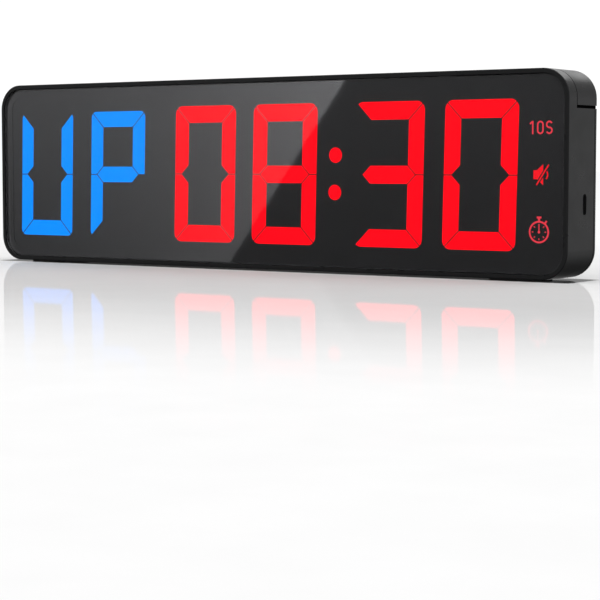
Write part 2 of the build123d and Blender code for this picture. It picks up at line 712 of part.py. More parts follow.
# ---------------------------------------------------------------- carry handle
with BuildPart() as carry_handle:
    with BuildSketch(at_depth(HANDLE_FRONT)):
        case_outline(0)
    extrude(amount=-(CASE_D - HANDLE_FRONT))
    fillet(outer_back_edges(carry_handle), BACK_EDGE_R)
    chamfer(outer_front_edges(carry_handle), SEAM_CHAMFER)
    with BuildSketch(at_side(0)):
        patch(0, -CASE_H, CASE_D + 1, HANDLE_BASE)
    extrude(amount=CASE_W, both=True, mode=Mode.SUBTRACT)
    # pocket that slides down over the bulkhead
    with BuildSketch(at_depth(HANDLE_FRONT)):
        case_outline(WALL - 0.05)
    extrude(amount=-(HANDLE_FACE - HANDLE_FRONT), mode=Mode.SUBTRACT)
    # hollow inside, open below
    with BuildSketch(at_depth(HANDLE_FACE + HANDLE_WALL)):
        case_outline(HANDLE_WALL)
    extrude(amount=-(CASE_D - HANDLE_FACE - 2 * HANDLE_WALL), mode=Mode.SUBTRACT)
    # bosses that hold the rods
    with BuildSketch(at_height(HANDLE_BASE + 2.0)):
        with Locations(*ROD_POINTS):
            Circle(ROD_R + 2.5)
    extrude(amount=CASE_H / 2 - HANDLE_BASE - 3.0)
    with BuildSketch(at_height(HANDLE_BASE)):
        with Locations(*ROD_POINTS):
            Circle(ROD_R)
    extrude(amount=ROD_TOP - HANDLE_BASE, mode=Mode.SUBTRACT)
write(carry_handle, "carry_handle")

PLATE_EDGE = HANDLE_WALL + 0.1
with BuildPart() as handle_base_plate:
    with BuildSketch(at_height(HANDLE_BASE)):
        with Locations((0, ROD_DEPTH)):
            RectangleRounded(CASE_W - 2 * PLATE_EDGE, CASE_D - HANDLE_FACE - 2 * PLATE_EDGE, 1.5)
        with Locations(*ROD_POINTS):
            Circle(ROD_R + 0.1, mode=Mode.SUBTRACT)
    extrude(amount=2.0)
write(handle_base_plate, "handle_base_plate")

with BuildPart() as handle_rods:
    with BuildSketch(at_height(ROD_BOTTOM)):
        with Locations(*ROD_POINTS):
            Circle(ROD_R)
    extrude(amount=ROD_TOP - ROD_BOTTOM)
    chamfer(handle_rods.faces().group_by(Axis.Z)[0].edges(), 0.5)
write(handle_rods, "handle_rods")

with BuildPart() as rod_collars:
    with BuildSketch(at_height(COLLAR_TOP - COLLAR_H)):
        with Locations(*ROD_POINTS):
            Circle(COLLAR_R)
            Circle(ROD_R, mode=Mode.SUBTRACT)
    extrude(amount=COLLAR_H)
    top_circles = rod_collars.faces().group_by(Axis.Z)[-1].edges().filter_by(GeomType.CIRCLE)
    chamfer(top_circles.group_by(lambda edge: round(edge.radius, 2))[-1], 0.4)
write(rod_collars, "rod_collars")

with BuildPart() as rod_bushes:
    with BuildSketch(at_height(SHOULDER - BUSH_L)):
        with Locations(*ROD_POINTS):
            Circle(BUSH_R)
    extrude(amount=BUSH_L)
    with BuildSketch(at_height(SHOULDER)):
        with Locations(*ROD_POINTS):
            Circle(BUSH_FLANGE_R)
    extrude(amount=BUSH_FLANGE_T)
    with BuildSketch(at_height(SHOULDER - BUSH_L)):
        with Locations(*ROD_POINTS):
            Circle(ROD_R + ROD_CLEARANCE)
    extrude(amount=BUSH_L + BUSH_FLANGE_T, mode=Mode.SUBTRACT)
write(rod_bushes, "rod_bushes")

with BuildPart() as friction_rings:
    ring_r = ROD_R + ROD_CLEARANCE + RING_SECTION_R
    ring_h = SHOULDER - BUSH_L - RING_SECTION_R
    for x, depth in ROD_POINTS:
        center = Vector(x, depth - CASE_D / 2, MID_Z + ring_h)
        with BuildSketch(Plane(origin=center, x_dir=(1, 0, 0), z_dir=(0, -1, 0))):
            with Locations((ring_r, 0)):
                Circle(RING_SECTION_R)
        revolve(axis=Axis(center, (0, 0, 1)))
write(friction_rings, "friction_rings")

# ---------------------------------------------------------------- feet, pads and case screws
with BuildPart() as rubber_feet:
    with BuildSketch(at_height(-CASE_H / 2 - FOOT_DROP)):
        with Locations(*[(side * FOOT_X, depth) for side in (-1, 1) for depth in FOOT_DEPTHS]):
            SlotOverall(FOOT_L, FOOT_W)
    extrude(amount=FOOT_T)
    chamfer(rubber_feet.faces().group_by(Axis.Z)[0].edges(), 0.3)
write(rubber_feet, "rubber_feet")

with BuildPart() as display_pads:
    with BuildSketch(at_depth(PCB_BACK)):
        with Locations(*PAD_POSTS):
            Circle(3.0)
        with Locations(*[(x, SHOULDER + 3.0) for x in (-120.0, -40.0, 40.0, 120.0)]):
            Rectangle(40.0, 6.0)
    extrude(amount=-(BULKHEAD_FRONT - PCB_BACK))
write(display_pads, "display_pads")

for name, head_front, side in (
    ("upper_case_screws", BULKHEAD_BACK - SCREW_HEAD_T, 1),
    ("lower_case_screws", TUBE_FLOOR, -1),
):
    with BuildPart() as case_screws:
        with BuildSketch(at_depth(head_front)):
            with Locations(*[(x, side * SCREW_Z) for x in SCREW_X]):
                Circle(SCREW_HEAD_R)
        extrude(amount=-SCREW_HEAD_T)
        with BuildSketch(at_depth(head_front + SCREW_HEAD_T)):
            with Locations(*[(x, side * SCREW_Z) for x in SCREW_X]):
                Rectangle(2.6, 0.6)
                Rectangle(0.6, 2.6)
        extrude(amount=0.7, mode=Mode.SUBTRACT)
        with BuildSketch(at_depth(head_front)):
            with Locations(*[(x, side * SCREW_Z) for x in SCREW_X]):
                Circle(SCREW_R)
        extrude(amount=head_front - boss_front - 1.2)
    write(case_screws, name)

# ---------------------------------------------------------------- main board and what is on it
with BuildPart() as main_board:
    with BuildSketch(at_depth(MAIN_FRONT)):
        patch(MAIN_X[0], MAIN_Z[0], MAIN_X[1], MAIN_Z[1])
        with Locations(*POST_POINTS):
            Circle(SCREW_R, mode=Mode.SUBTRACT)
    extrude(amount=-PCB_T)
write(main_board, "main_board")

with BuildPart() as board_screws:
    with BuildSketch(at_depth(MAIN_FRONT)):
        with Locations(*POST_POINTS):
            Circle(SCREW_HEAD_R)
    extrude(amount=SCREW_HEAD_T)
    with BuildSketch(at_depth(MAIN_FRONT)):
        with Locations(*POST_POINTS):
            Circle(SCREW_R)
    extrude(amount=-PCB_T - 4.0)
write(board_screws, "board_screws")

CHIPS = ((125.0, -4.0, 10.0, 10.0), (144.0, 10.0, 6.0, 5.0), (146.0, -24.0, 8.0, 6.0))
with BuildPart() as board_chips:
    with BuildSketch(at_depth(MAIN_FRONT)):
        for x, z, width, height in CHIPS:
            with Locations((x, z)):
                Rectangle(width, height)
    extrude(amount=1.4)
write(board_chips, "board_chips")

HEADER_X = 130.0
HEADER_Z = 20.0
with BuildPart() as board_header:
    with BuildSketch(at_depth(PCB_BACK)):
        with Locations((HEADER_X, HEADER_Z)):
            Rectangle(21.0, 5.0)
    extrude(amount=-(MAIN_FRONT - PCB_BACK))
write(board_header, "board_header")

with BuildPart() as usb_shell:
    shell_end = CASE_W / 2 - USB_RECESS
    with BuildSketch(at_side(shell_end)):
        with Locations((MAIN_FRONT - USB_T / 2, USB_Z)):
            SlotOverall(USB_W, USB_T, rotation=90)
    extrude(amount=-USB_L)
    with BuildSketch(at_side(shell_end)):
        with Locations((MAIN_FRONT - USB_T / 2, USB_Z)):
            SlotOverall(USB_W - 2 * USB_WALL, USB_T - 2 * USB_WALL, rotation=90)
    extrude(amount=-USB_L + 1.0, mode=Mode.SUBTRACT)
write(usb_shell, "usb_shell")

with BuildPart() as usb_tongue:
    with BuildSketch(at_side(shell_end - USB_L + 1.0)):
        with Locations((MAIN_FRONT - USB_T / 2, USB_Z)):
            RectangleRounded(0.7, 6.6, 0.3)
    extrude(amount=USB_L - 1.8)
write(usb_tongue, "usb_tongue")

# ---------------------------------------------------------------- push buttons and power switch
SWITCH_BODY_T = 3.0
CAP_BACK = MAIN_BACK + SWITCH_BODY_T + 0.9
PLUNGER_R = 1.7
FLANGE_BACK = BACK_INSIDE - BAY_PAD - 0.2
CAP_FACE = CASE_D - 0.2

with BuildPart() as tact_switches:
    with BuildSketch(at_depth(MAIN_BACK)):
        with Locations(*[(x, BUTTON_Z) for x in BUTTON_X]):
            Rectangle(6.0, 6.0)
    extrude(amount=-SWITCH_BODY_T)
    with BuildSketch(at_depth(MAIN_BACK + 1.2)):
        with Locations(*[(x, BUTTON_Z) for x in BUTTON_X]):
            Circle(PLUNGER_R + 0.1)
    extrude(amount=-SWITCH_BODY_T, mode=Mode.SUBTRACT)
write(tact_switches, "tact_switches")

for name, x in zip(("start", "up", "down", "mode"), BUTTON_X):
    with BuildPart() as button_cap:
        with BuildSketch(at_depth(CAP_BACK)):
            with Locations((x, BUTTON_Z)):
                Circle(2.2)
        extrude(amount=-(FLANGE_BACK - CAP_BACK))
        with BuildSketch(at_depth(FLANGE_BACK - 1.0)):
            with Locations((x, BUTTON_Z)):
                Circle(BUTTON_FLANGE_R)
        extrude(amount=-1.0)
        with BuildSketch(at_depth(FLANGE_BACK)):
            with Locations((x, BUTTON_Z)):
                Circle(BUTTON_R)
        extrude(amount=-(CAP_FACE - FLANGE_BACK))
        fillet(button_cap.faces().sort_by(Axis.Y)[-1].edges(), 0.5)
    write(button_cap, f"{name}_button_cap")
    with BuildPart() as plunger:
        with BuildSketch(at_depth(MAIN_BACK + 1.2 + BUTTON_TRAVEL + 0.2)):
            with Locations((x, BUTTON_Z)):
                Circle(PLUNGER_R)
        extrude(amount=-(SWITCH_BODY_T - 1.2 - BUTTON_TRAVEL - 0.2 + 0.9))
    write(plunger, f"{name}_switch_plunger")

SLIDE_BODY_T = 4.0
REST_X = SWITCH_X - SWITCH_TRAVEL / 2
with BuildPart() as power_switch_body:
    with BuildSketch(at_depth(MAIN_BACK)):
        with Locations((SWITCH_X, SWITCH_Z)):
            Rectangle(14.0, 6.0)
    extrude(amount=-SLIDE_BODY_T)
    with BuildSketch(at_depth(MAIN_BACK + 2.0)):
        with Locations((SWITCH_X, SWITCH_Z)):
            Rectangle(3.0 + SWITCH_TRAVEL + 0.6, 3.2)
    extrude(amount=-SLIDE_BODY_T, mode=Mode.SUBTRACT)
write(power_switch_body, "power_switch_body")

with BuildPart() as power_switch_knob:
    with BuildSketch(at_depth(MAIN_BACK + 2.3)):
        with Locations((REST_X, SWITCH_Z)):
            Rectangle(3.0, 2.8)
    extrude(amount=-(FLANGE_BACK - MAIN_BACK - 2.3))
    with BuildSketch(at_depth(FLANGE_BACK - 0.8)):
        with Locations((REST_X, SWITCH_Z)):
            RectangleRounded(14.0, 6.4, 1.0)
    extrude(amount=-0.8)
    with BuildSketch(at_depth(FLANGE_BACK)):
        with Locations((REST_X, SWITCH_Z)):
            SlotOverall(5.0, 3.5)
    extrude(amount=-(CAP_FACE - FLANGE_BACK))
    with BuildSketch(at_depth(CAP_FACE)):
        with GridLocations(1.2, 1, 3, 1):
            with Locations((REST_X, SWITCH_Z)):
                Rectangle(0.4, 4.0)
    extrude(amount=0.3, mode=Mode.SUBTRACT)
write(power_switch_knob, "power_switch_knob")

# ---------------------------------------------------------------- loudspeaker
SPEAKER = (SPEAKER_X, SPEAKER_Z)
GASKET_T = 0.6
BASKET_T = 5.4
basket_back = BACK_INSIDE - GASKET_T
with BuildPart() as speaker_gasket:
    with BuildSketch(at_depth(basket_back)):
        with Locations(SPEAKER):
            Circle(SPEAKER_R - 0.4)
            Circle(SPEAKER_R - 3.0, mode=Mode.SUBTRACT)
    extrude(amount=-GASKET_T)
write(speaker_gasket, "speaker_gasket")

with BuildPart() as speaker_basket:
    with BuildSketch(at_depth(basket_back - BASKET_T)):
        with Locations(SPEAKER):
            Circle(SPEAKER_R - 2.0)
    extrude(amount=-BASKET_T)
    with BuildSketch(at_depth(basket_back - 1.0)):
        with Locations(SPEAKER):
            Circle(SPEAKER_R)
    extrude(amount=-1.0)
    with BuildSketch(at_depth(basket_back - BASKET_T + 1.0)):
        with Locations(SPEAKER):
            Circle(SPEAKER_R - 3.0)
    extrude(amount=-BASKET_T, mode=Mode.SUBTRACT)
write(speaker_basket, "speaker_basket")

with BuildPart() as speaker_cone:
    center = (SPEAKER_X, -CASE_D / 2, MID_Z + SPEAKER_Z)
    rim_r, rim_d, neck_d = SPEAKER_R - 3.2, basket_back - 0.6, basket_back - 3.6
    with BuildSketch(Plane(origin=center, x_dir=(1, 0, 0), z_dir=(0, 0, 1))):
        Polygon(
            (0, neck_d),
            (4.5, neck_d),
            (rim_r, rim_d),
            (rim_r, rim_d + 0.5),
            (4.3, neck_d + 0.6),
            (0, neck_d + 0.6),
            align=None,
        )
    revolve(axis=Axis(center, (0, 1, 0)))
write(speaker_cone, "speaker_cone")

with BuildPart() as speaker_magnet:
    with BuildSketch(at_depth(basket_back - BASKET_T)):
        with Locations(SPEAKER):
            Circle(11.0)
    extrude(amount=4.5)
    chamfer(speaker_magnet.faces().sort_by(Axis.Y)[0].edges(), 0.6)
write(speaker_magnet, "speaker_magnet")

# ---------------------------------------------------------------- battery and leads
with BuildPart() as battery_pack:
    with BuildSketch(at_depth(PACK_D[0])):
        with Locations(((PACK_X[0] + PACK_X[1]) / 2, (PACK_Z[0] + PACK_Z[1]) / 2)):
            RectangleRounded(PACK_X[1] - PACK_X[0], PACK_Z[1] - PACK_Z[0], 4.0)
    extrude(amount=-(PACK_D[1] - PACK_D[0]))
    fillet(battery_pack.faces().sort_by(Axis.Y)[0].edges(), 1.5)
write(battery_pack, "battery_pack")

with BuildPart() as battery_tape:
    with BuildSketch(at_depth(PACK_D[1])):
        patch(PACK_X[0] + 6.0, PACK_Z[0] + 6.0, PACK_X[1] - 6.0, PACK_Z[1] - 6.0)
    extrude(amount=-(BACK_INSIDE - PACK_D[1]))
write(battery_tape, "battery_tape")

SOCKET_X = 118.0
SOCKET_L = 6.0
PLUG_L = 4.0
BATTERY_LEAD_Z = -13.0
SPEAKER_LEAD_Z = -22.0
LEAD_HEIGHTS = (BATTERY_LEAD_Z, SPEAKER_LEAD_Z)
LEAD_DEPTH = MAIN_FRONT - 2.6
with BuildPart() as lead_sockets:
    with BuildSketch(at_depth(MAIN_FRONT)):
        with Locations(*[(SOCKET_X + SOCKET_L / 2, z) for z in LEAD_HEIGHTS]):
            Rectangle(SOCKET_L, 6.0)
    extrude(amount=5.0)
write(lead_sockets, "lead_sockets")

with BuildPart() as lead_plugs:
    with BuildSketch(at_side(SOCKET_X)):
        with Locations(*[(LEAD_DEPTH, z) for z in LEAD_HEIGHTS]):
            Rectangle(3.6, 4.8)
    extrude(amount=-PLUG_L)
write(lead_plugs, "lead_plugs")


def lead(name, route, bend):
    """Two parallel insulated wires along a route of (x, depth, height) points, one above the other."""
    with BuildPart() as wires:
        for side in (-1, 1):
            points = [(x, d - CASE_D / 2, MID_Z + h + side * WIRE_PITCH / 2) for x, d, h in route]
            with BuildLine() as path:
                FilletPolyline(*points, radius=bend)
            with BuildSketch(Plane(origin=path.line @ 0, z_dir=path.line % 0)):
                Circle(WIRE_R)
            sweep(path=path.line)
    write(wires, name)


PLUG_END = SOCKET_X - PLUG_L
PASS_DEPTH = 12.6
lead("battery_lead", [
    (PACK_X[1], 21.0, BATTERY_LEAD_Z),
    (PACK_X[1] + 12.0, 21.0, BATTERY_LEAD_Z),
    (PACK_X[1] + 26.0, PASS_DEPTH, BATTERY_LEAD_Z),
    (PLUG_END - 10.0, PASS_DEPTH, BATTERY_LEAD_Z),
    (PLUG_END - 4.0, LEAD_DEPTH, BATTERY_LEAD_Z),
    (PLUG_END, LEAD_DEPTH, BATTERY_LEAD_Z),
], 4.0)
SPEAKER_EDGE = SPEAKER_X + SPEAKER_R - 2.0
lead("speaker_lead", [
    (SPEAKER_EDGE, 22.1, SPEAKER_Z),
    (SPEAKER_EDGE + 8.0, 22.1, SPEAKER_Z),
    (SPEAKER_EDGE + 8.0, PASS_DEPTH, SPEAKER_Z),
    (SPEAKER_EDGE + 24.0, PASS_DEPTH, SPEAKER_LEAD_Z),
    (PLUG_END - 10.0, PASS_DEPTH, SPEAKER_LEAD_Z),
    (PLUG_END - 4.0, LEAD_DEPTH, SPEAKER_LEAD_Z),
    (PLUG_END, LEAD_DEPTH, SPEAKER_LEAD_Z),
], 4.0)
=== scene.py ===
import math

import bpy
from mathutils import Euler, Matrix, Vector


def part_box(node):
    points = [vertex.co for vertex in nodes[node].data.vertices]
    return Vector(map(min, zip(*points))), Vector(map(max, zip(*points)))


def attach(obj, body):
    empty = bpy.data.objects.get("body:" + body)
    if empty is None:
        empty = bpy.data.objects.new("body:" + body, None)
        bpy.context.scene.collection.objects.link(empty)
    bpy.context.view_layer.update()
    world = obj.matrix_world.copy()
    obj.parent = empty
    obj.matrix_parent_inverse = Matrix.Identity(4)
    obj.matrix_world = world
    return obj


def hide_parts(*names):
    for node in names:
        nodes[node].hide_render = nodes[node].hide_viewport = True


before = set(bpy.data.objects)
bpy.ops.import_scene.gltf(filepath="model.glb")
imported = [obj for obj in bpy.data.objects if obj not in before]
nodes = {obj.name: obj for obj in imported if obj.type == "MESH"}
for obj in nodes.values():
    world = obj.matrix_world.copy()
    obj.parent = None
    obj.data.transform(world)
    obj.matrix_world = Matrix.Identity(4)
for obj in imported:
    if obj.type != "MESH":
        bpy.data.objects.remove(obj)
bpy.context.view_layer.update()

# Lengths are in metres and angles in degrees.
scene = bpy.context.scene

case_low, case_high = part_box("front_frame")
front_y = case_low.y
mid_z = (case_low.z + case_high.z) / 2


# ---------------------------------------------------------------- node helpers
WHITE = (1.0, 1.0, 1.0)
NOISE_LOW, NOISE_HIGH = 0.3, 0.7


class Graph:
    """A node material that is built step by step."""

    def __init__(self, name):
        self.material = bpy.data.materials.new(name)
        self.material.use_nodes = True
        self.tree = self.material.node_tree
        self.tree.nodes.clear()
        self.output = self.add("ShaderNodeOutputMaterial")
        self.place = self.add("ShaderNodeTexCoord").outputs["Object"]

    def add(self, kind, **settings):
        node = self.tree.nodes.new(kind)
        for key, value in settings.items():
            setattr(node, key, value)
        return node

    def put(self, socket, value):
        """Links a socket into this one, or sets its default."""
        if isinstance(value, bpy.types.NodeSocket):
            self.tree.links.new(value, socket)
        else:
            socket.default_value = value

    def shader(self, **values):
        """The Principled shader of the surface. Names use _ for a space."""
        node = self.add("ShaderNodeBsdfPrincipled")
        for key, value in values.items():
            self.put(node.inputs[key.replace("_", " ")], value)
        self.tree.links.new(node.outputs["BSDF"], self.output.inputs["Surface"])

    def noise(self, scale, detail=3.0, roughness=0.5, stretch=None):
        """Grey noise between about NOISE_LOW and NOISE_HIGH."""
        source = self.place
        if stretch:
            mapping = self.add("ShaderNodeMapping")
            self.put(mapping.inputs["Vector"], source)
            mapping.inputs["Scale"].default_value = stretch
            source = mapping.outputs["Vector"]
        node = self.add("ShaderNodeTexNoise")
        self.put(node.inputs["Vector"], source)
        node.inputs["Scale"].default_value = scale
        node.inputs["Detail"].default_value = detail
        node.inputs["Roughness"].default_value = roughness
        return node.outputs["Fac"]

    def cells(self, scale):
        """Distance to the nearest of many scattered points."""
        node = self.add("ShaderNodeTexVoronoi")
        self.put(node.inputs["Vector"], self.place)
        node.inputs["Scale"].default_value = scale
        return node.outputs["Distance"]

    def spread(self, value, low, high, from_low=0.0, from_high=1.0):
        """Maps a value from one range to another, clamped."""
        node = self.add("ShaderNodeMapRange")
        self.put(node.inputs["Value"], value)
        node.inputs["From Min"].default_value = from_low
        node.inputs["From Max"].default_value = from_high
        node.inputs["To Min"].default_value = low
        node.inputs["To Max"].default_value = high
        return node.outputs["Result"]

    def split(self):
        """The three coordinates of the surface point, by name."""
        node = self.add("ShaderNodeSeparateXYZ")
        self.put(node.inputs[0], self.place)
        return node.outputs

    def math(self, operation, a, b=0.0):
        node = self.add("ShaderNodeMath", operation=operation)
        self.put(node.inputs[0], a)
        self.put(node.inputs[1], b)
        return node.outputs[0]

    def ramp(self, value, *stops, ease="LINEAR"):
        """Colour ramp with (position, colour) stops."""
        node = self.add("ShaderNodeValToRGB")
        node.color_ramp.interpolation = ease
        self.put(node.inputs["Fac"], value)
        elements = node.color_ramp.elements
        while len(elements) < len(stops):
            elements.new(0.5)
        for element, (position, colour) in zip(elements, stops):
            element.position = position
            element.color = (*colour, 1.0)
        return node.outputs["Color"]

    def between(self, value, dark, light):
        """Colour between two tones over the usual range of a noise."""
        return self.ramp(value, (NOISE_LOW, dark), (NOISE_HIGH, light))

    def vary(self, value, low, high):
        """Value between two others over the usual range of a noise."""
        return self.spread(value, low, high, NOISE_LOW, NOISE_HIGH)

    def bump(self, height, strength, distance):
        node = self.add("ShaderNodeBump")
        self.put(node.inputs["Height"], height)
        node.inputs["Strength"].default_value = strength
        node.inputs["Distance"].default_value = distance
        return node.outputs["Normal"]


def dress(material, *names):
    """Gives CAD nodes their material through their material slots."""
    for name in names:
        slots = nodes[name].data.materials
        slots.clear()
        slots.append(material)


FLOW_SCALE = 22.0
SPARK_SCALE = 1900.0
PEBBLE_SCALE = 1300.0
PEBBLE_SHARE = 0.6
SHEEN_SCALE = 90.0
GRAIN_DEPTH = 0.00006


def satin_plastic(name, dark, light, rough=(0.36, 0.46), grain=0.12, level=0.13):
    """Moulded plastic with a fine spark-eroded texture and faint flow marks."""
    g = Graph(name)
    pebble = g.math("MULTIPLY", g.cells(PEBBLE_SCALE), PEBBLE_SHARE)
    height = g.math("ADD", g.noise(SPARK_SCALE, 2.0, 0.6), pebble)
    g.shader(
        Base_Color=g.between(g.noise(FLOW_SCALE, 4.0, 0.55), dark, light),
        Roughness=g.vary(g.noise(SHEEN_SCALE, 3.0), *rough),
        Specular_IOR_Level=level,
        Normal=g.bump(height, grain, GRAIN_DEPTH),
    )
    return g.material


MOTTLE_SCALE = 260.0
MOTTLE_LIGHT = (0.97, 1.03)
MOTTLE_BODY = 1.15


def glow(name, colour, strength, body):
    """A frosted window with lamps close behind it, very slightly mottled and without a reflection."""
    g = Graph(name)
    mottle = g.noise(MOTTLE_SCALE, 2.0)
    dimmest, brightest = (share * strength for share in MOTTLE_LIGHT)
    g.shader(
        Base_Color=g.between(mottle, body, tuple(MOTTLE_BODY * c for c in body)),
        Roughness=0.5,
        Specular_IOR_Level=0.0,
        Emission_Color=(*colour, 1.0),
        Emission_Strength=g.vary(mottle, dimmest, brightest),
    )
    return g.material


METAL_SHADE = 0.82
MARK_DEPTH = 0.00005


def metal(name, colour, rough=(0.25, 0.4), stretch=(1.0, 1.0, 1.0), scale=400.0, grain=0.1):
    """Machined or plated metal with fine marks, drawn out where stretch says so."""
    g = Graph(name)
    marks = g.noise(scale, 4.0, 0.6, stretch=stretch)
    darker = tuple(METAL_SHADE * c for c in colour)
    g.shader(
        Base_Color=g.between(marks, darker, colour),
        Metallic=1.0,
        Roughness=g.vary(marks, *rough),
        Normal=g.bump(marks, grain, MARK_DEPTH),
    )
    return g.material


# ---------------------------------------------------------------- case and finger slot
case_plastic = satin_plastic(
    "case_satin_black",
    (0.009, 0.0092, 0.0096),
    (0.0115, 0.0118, 0.0123),
    rough=(0.26, 0.36),
    level=0.1,
)
dress(case_plastic, "front_frame", "rear_housing", "carry_handle", "handle_base_plate")

# A near-black strip covers the ribs in the finger slot, so that no light comes through above them. Its almost
# black colour is painted shade that stands in for the dark of the deep slot.
SLOT_SHADE_H = 0.0014
SLOT_SHADE_W = 0.0013
SLOT_SHADE_GAP = 0.000015
SLOT_SHADE_INSET = 0.00035
SLOT_SHADE_CORNER_R = 0.00115
CORNER_STEPS = 6


def slot_shade_path(inset, radius):
    """Points of a U at an inset from the case sides and back, from right front to left front."""
    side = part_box("rear_housing")[1].x - inset
    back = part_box("rear_housing")[1].y - inset
    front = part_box("carry_handle")[0].y + SLOT_SHADE_W
    right = [(side, front)]
    for step in range(CORNER_STEPS + 1):
        turn = math.radians(90.0 * step / CORNER_STEPS)
        right.append((side - radius + radius * math.cos(turn), back - radius + radius * math.sin(turn)))
    return right + [(-x, y) for x, y in reversed(right)]


def slot_shade_mesh():
    """A closed strip with four points at each step of the U."""
    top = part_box("handle_base_plate")[0].z - SLOT_SHADE_GAP
    outer_path = slot_shade_path(SLOT_SHADE_INSET, SLOT_SHADE_CORNER_R)
    inner_path = slot_shade_path(SLOT_SHADE_INSET + SLOT_SHADE_W, SLOT_SHADE_CORNER_R / 4)
    points = []
    for outer, inner in zip(outer_path, inner_path):
        points += [(*outer, top - SLOT_SHADE_H), (*outer, top), (*inner, top), (*inner, top - SLOT_SHADE_H)]
    faces = [(0, 1, 2, 3)]
    last = len(points) - 4
    for here in range(0, last, 4):
        there = here + 4
        for corner in range(4):
            following = (corner + 1) % 4
            faces.append((here + corner, there + corner, there + following, here + following))
    faces.append((last + 3, last + 2, last + 1, last))
    mesh = bpy.data.meshes.new("slot_painted_shade_strip")
    mesh.from_pydata(points, [], faces)
    return mesh


# Painted shade: this almost black, matte colour makes the strip read as the shade inside the slot.
painted_shade_black = satin_plastic(
    "painted_shade_black",
    (0.0008, 0.0008, 0.0008),
    (0.002, 0.002, 0.002),
    rough=(0.9, 1.0),
    grain=0.3,
    level=0.0,
)
shade_strip_piece = bpy.data.objects.new("slot_painted_shade_strip", slot_shade_mesh())
shade_strip_piece.data.materials.append(painted_shade_black)
scene.collection.objects.link(shade_strip_piece)
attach(shade_strip_piece, "case")

# ---------------------------------------------------------------- display
LENS_TINT = (0.75, 0.75, 0.765, 1.0)
lens = Graph("smoked_lens")
lens.shader(
    Base_Color=LENS_TINT,
    Roughness=0.0,
    IOR=1.2,
    Transmission_Weight=1.0,
)
dress(lens.material, "front_lens")

GLOSSY = dict(rough=(0.02, 0.04), grain=0.0, level=1.0)
mask_black = satin_plastic("mask_black", (0.040, 0.0405, 0.041), (0.044, 0.0445, 0.045), **GLOSSY)
dress(mask_black, "light_block")
unlit = satin_plastic("unlit_window", (0.041, 0.0405, 0.041), (0.045, 0.0445, 0.045), **GLOSSY)
dress(unlit, "unlit_windows")

# The tape's front face lies on the lens in the CAD. Here it sits a hair behind, so the lens shows it cleanly.
TAPE_GAP = 0.00003
tape_mesh = nodes["lens_tape"].data.copy()
tape_front = min(vertex.co.y for vertex in tape_mesh.vertices)
for vertex in tape_mesh.vertices:
    vertex.co.y = max(vertex.co.y, tape_front + TAPE_GAP)
tape_mesh.materials.clear()
tape_mesh.materials.append(mask_black)
tape = bpy.data.objects.new("lens_border_tape", tape_mesh)
scene.collection.objects.link(tape)
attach(tape, "case")
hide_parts("lens_tape")

# The windows shine brighter by this much, to make up for the smoked lens.
LENS_GAIN = 1.4
RED_BODY = (0.3, 0.003, 0.004)
BLUE_BODY = (0.002, 0.06, 0.3)
red = glow("red_window", (1.0, 0.0012, 0.008), 1.15 * LENS_GAIN, RED_BODY)
dress(
    red,
    "minutes_tens_lit_windows",
    "minutes_ones_lit_windows",
    "seconds_tens_lit_windows",
    "seconds_ones_lit_windows",
    "colon_windows",
)
blue = glow("blue_window", (0.0, 0.262, 1.0), LENS_GAIN, BLUE_BODY)
dress(blue, "mode_letter_1_lit_windows", "mode_letter_2_lit_windows")
dress(glow("mute_window", (1.0, 0.012, 0.022), 0.8 * LENS_GAIN, RED_BODY), "mute_icon")
fine_icon = glow("fine_icon_window", (1.0, 0.07, 0.1), 0.66 * LENS_GAIN, RED_BODY)
dress(fine_icon, "ten_seconds_icon", "stopwatch_icon")

dome = Graph("dark_dome")
dome.shader(
    Base_Color=dome.between(dome.noise(300.0), (0.006, 0.004, 0.006), (0.012, 0.007, 0.01)),
    Roughness=0.08,
)
dress(dome.material, "remote_eye")


# ---------------------------------------------------------------- small parts
def dress_plastic(name, dark, light, names, **look):
    """A plastic of its own for a few CAD nodes."""
    dress(satin_plastic(name, dark, light, **look), *names)


dress_plastic(
    "black_rubber",
    (0.012, 0.012, 0.012),
    (0.02, 0.02, 0.02),
    ("rubber_feet", "friction_rings"),
    rough=(0.75, 0.9),
    grain=0.35,
    level=0.3,
)
dress_plastic(
    "black_foam",
    (0.008, 0.008, 0.008),
    (0.016, 0.016, 0.016),
    ("battery_tape", "display_pads", "speaker_gasket"),
    rough=(0.85, 0.95),
    grain=0.6,
    level=0.2,
)
dress_plastic(
    "button_satin",
    (0.024, 0.025, 0.027),
    (0.032, 0.033, 0.036),
    ("start_button_cap", "up_button_cap", "down_button_cap", "mode_button_cap", "power_switch_knob"),
    rough=(0.3, 0.4),
    grain=0.08,
    level=0.45,
)
dress_plastic(
    "component_black",
    (0.012, 0.012, 0.013),
    (0.02, 0.02, 0.021),
    ("board_chips", "board_header", "tact_switches", "power_switch_body", "usb_tongue"),
    rough=(0.45, 0.6),
)
plungers = ("start_switch_plunger", "up_switch_plunger", "down_switch_plunger", "mode_switch_plunger")
dress_plastic(
    "moulded_ivory",
    (0.62, 0.59, 0.52),
    (0.7, 0.67, 0.6),
    (*plungers, "lead_sockets", "lead_plugs"),
    rough=(0.4, 0.5),
)
dress_plastic(
    "painted_basket",
    (0.014, 0.014, 0.014),
    (0.022, 0.022, 0.022),
    ("speaker_basket",),
    rough=(0.4, 0.55),
)
dress_plastic(
    "red_lamp_body",
    (0.35, 0.03, 0.03),
    (0.5, 0.05, 0.05),
    ("red_lamps",),
    rough=(0.2, 0.3),
)
dress_plastic(
    "blue_lamp_body",
    (0.1, 0.16, 0.4),
    (0.14, 0.22, 0.5),
    ("blue_lamps",),
    rough=(0.2, 0.3),
)
dress_plastic(
    "shrink_wrap",
    (0.24, 0.25, 0.28),
    (0.32, 0.33, 0.36),
    ("battery_pack",),
    rough=(0.2, 0.35),
    level=0.5,
)
dress_plastic(
    "lead_insulation",
    (0.3, 0.016, 0.016),
    (0.4, 0.026, 0.026),
    ("battery_lead", "speaker_lead"),
    rough=(0.3, 0.4),
)

